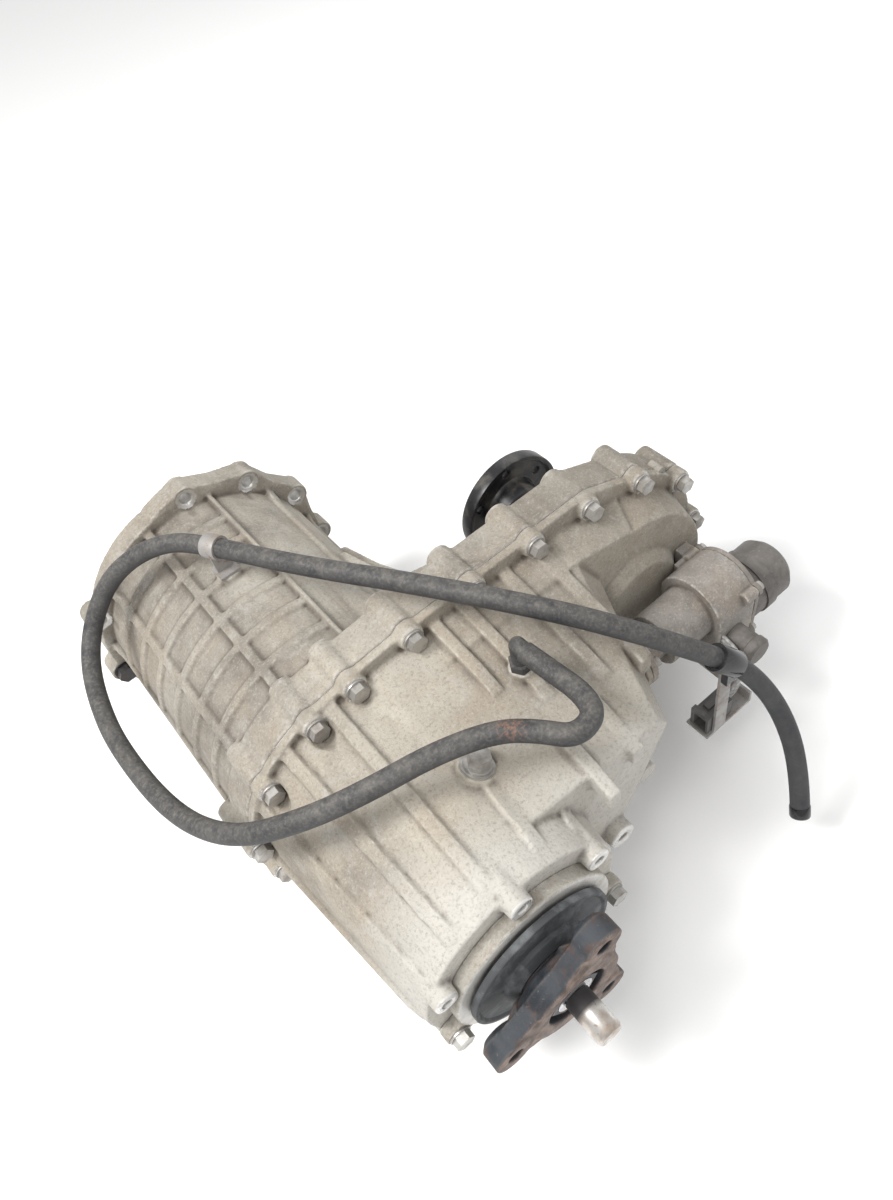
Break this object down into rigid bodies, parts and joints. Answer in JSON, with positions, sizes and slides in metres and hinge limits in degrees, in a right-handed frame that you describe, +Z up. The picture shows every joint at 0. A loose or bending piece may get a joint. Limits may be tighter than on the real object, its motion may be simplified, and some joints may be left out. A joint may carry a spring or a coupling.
{
  "type": "transfer case",
  "caption": "Chain-drive transfer case with a ribbed bell adapter, range gears, clutch, electric actuator, front and rear output flanges and a vent hose.",
  "frame": {"origin": "centre of the gearbox flange's face, on the main shaft", "axes": "+Y out of the bell towards the gearbox, +X towards the front output, +Z up"},
  "size_m": [0.5441, 0.541, 0.2895],
  "materials": {
    "cast_case": "dusty sand-cast",
    "zinc_bolt": "dulled zinc",
    "black_bolt": "black oxide",
    "bright_steel": "machined",
    "bearing_steel": "polished",
    "forged_flange": "rust-specked forging",
    "black_flange": "satin black",
    "dark_chain": "oiled",
    "friction_lining": "matt",
    "black_rubber": "dusty matt",
    "gloss_black": "glossy",
    "actuator_brown": "dusty brown paint",
    "bare_strap": "dull zinc with rust",
    "lead_grey": "matt"
  },
  "bodies": {
    "case": {"front_housing": "cast_case", "rear_housing": "cast_case", "rear_retainer": "cast_case", "retainer_bolts": "zinc_bolt", "seam_bolts": "zinc_bolt", "dowels": "bright_steel", "flange_bolt": "black_bolt", "input_bearing": "bearing_steel", "rear_output_bearing": "bearing_steel", "front_output_bearing": "bearing_steel", "front_inner_bearing": "bearing_steel", "input_seal": "black_rubber", "rear_seal": "black_rubber", "front_seal": "black_rubber", "ring_gear": "bright_steel", "chain": "dark_chain", "pump_body": "cast_case", "actuator_housing": "cast_case", "actuator_cover": "actuator_brown", "motor_can": "actuator_brown", "motor_strap": "bare_strap", "actuator_screws": "zinc_bolt", "actuator_mount_screws": "zinc_bolt", "oil_plugs": "bright_steel", "plug_washers": "zinc_bolt", "breather_elbow": "bright_steel", "vent_hose": "black_rubber", "hose_bracket": "bare_strap", "hose_clip": "gloss_black", "connector": "gloss_black", "connector_wires": "lead_grey", "connector_bracket": "bare_strap", "side_cap": "actuator_brown"},
    "output": {"output_shaft": "bright_steel", "centring_pin": "bright_steel", "rear_flange": "forged_flange", "rear_flange_nut": "black_bolt", "dust_shield": "black_flange", "clutch_hub": "bright_steel", "friction_plates": "friction_lining", "pump_rotor": "bright_steel"},
    "clutch": {"clutch_drum": "bright_steel", "steel_plates": "bright_steel", "pressure_plate": "bright_steel", "drive_sprocket": "bright_steel"},
    "front_output": {"front_output_shaft": "bright_steel", "driven_sprocket": "bright_steel", "front_flange": "black_flange", "front_flange_nut": "black_bolt"},
    "input": {"input_shaft": "bright_steel"},
    "carrier": {"planet_carrier": "bright_steel"},
    "planet_1": {"planet_gear_1": "bright_steel"},
    "planet_2": {"planet_gear_2": "bright_steel"},
    "planet_3": {"planet_gear_3": "bright_steel"},
    "sleeve": {"range_sleeve": "bright_steel"},
    "rail": {"shift_rail": "bright_steel", "range_fork": "dark_chain"},
    "shift": {"shift_shaft": "bright_steel", "actuator_gear": "bright_steel"},
    "motor": {"motor_rotor": "dark_chain"}
  },
  "joints": [
    {"name": "output_spin", "type": "hinge", "parent": "case", "child": "output", "pos_m": [0, -0.4, 0], "axis": [0, 1, 0], "continuous": true},
    {"name": "input_spin", "type": "hinge", "parent": "case", "child": "input", "pos_m": [0, -0.15, 0], "axis": [0, 1, 0], "continuous": true},
    {"name": "drum_spin", "type": "hinge", "parent": "case", "child": "clutch", "pos_m": [0, -0.34, 0], "axis": [0, 1, 0], "continuous": true},
    {"name": "front_output_spin", "type": "hinge", "parent": "case", "child": "front_output", "pos_m": [0.262, -0.25, 0], "axis": [0, 1, 0], "continuous": true},
    {"name": "carrier_spin", "type": "hinge", "parent": "case", "child": "carrier", "pos_m": [0, -0.224, 0], "axis": [0, 1, 0], "continuous": true},
    {"name": "planet_1_spin", "type": "hinge", "parent": "carrier", "child": "planet_1", "pos_m": [0.042, -0.223, 0], "axis": [0, 1, 0], "continuous": true},
    {"name": "planet_2_spin", "type": "hinge", "parent": "carrier", "child": "planet_2", "pos_m": [-0.021, -0.223, 0.03637], "axis": [0, 1, 0], "continuous": true},
    {"name": "planet_3_spin", "type": "hinge", "parent": "carrier", "child": "planet_3", "pos_m": [-0.021, -0.223, -0.03637], "axis": [0, 1, 0], "continuous": true},
    {"name": "shift_turn", "type": "hinge", "parent": "case", "child": "shift", "pos_m": [0.2, -0.35, 0], "axis": [1, 0, 0], "range_deg": [0, 16.43]},
    {"name": "rail_slide", "type": "slide", "parent": "case", "child": "rail", "axis": [0, -1, 0], "range_m": [0, 0.01215]},
    {"name": "sleeve_slide", "type": "slide", "parent": "output", "child": "sleeve", "axis": [0, -1, 0], "range_m": [0, 0.01215]},
    {"name": "motor_spin", "type": "hinge", "parent": "case", "child": "motor", "pos_m": [0.34, -0.35, -0.03], "axis": [1, 0, 0], "range_deg": [-66, 0]}
  ],
  "couplings": [
    {"joint": "input_spin", "follows": "output_spin", "ratio": 1},
    {"joint": "drum_spin", "follows": "output_spin", "ratio": 1},
    {"joint": "front_output_spin", "follows": "output_spin", "ratio": 1},
    {"joint": "carrier_spin", "follows": "output_spin", "ratio": 0.35714},
    {"joint": "planet_1_spin", "follows": "output_spin", "ratio": -1.6071},
    {"joint": "planet_2_spin", "follows": "output_spin", "ratio": -1.6071},
    {"joint": "planet_3_spin", "follows": "output_spin", "ratio": -1.6071},
    {"joint": "rail_slide", "follows": "shift_turn", "m_per_rad": 0.041857},
    {"joint": "sleeve_slide", "follows": "shift_turn", "m_per_rad": 0.041857},
    {"joint": "motor_spin", "follows": "shift_turn", "ratio": -4}
  ]
}
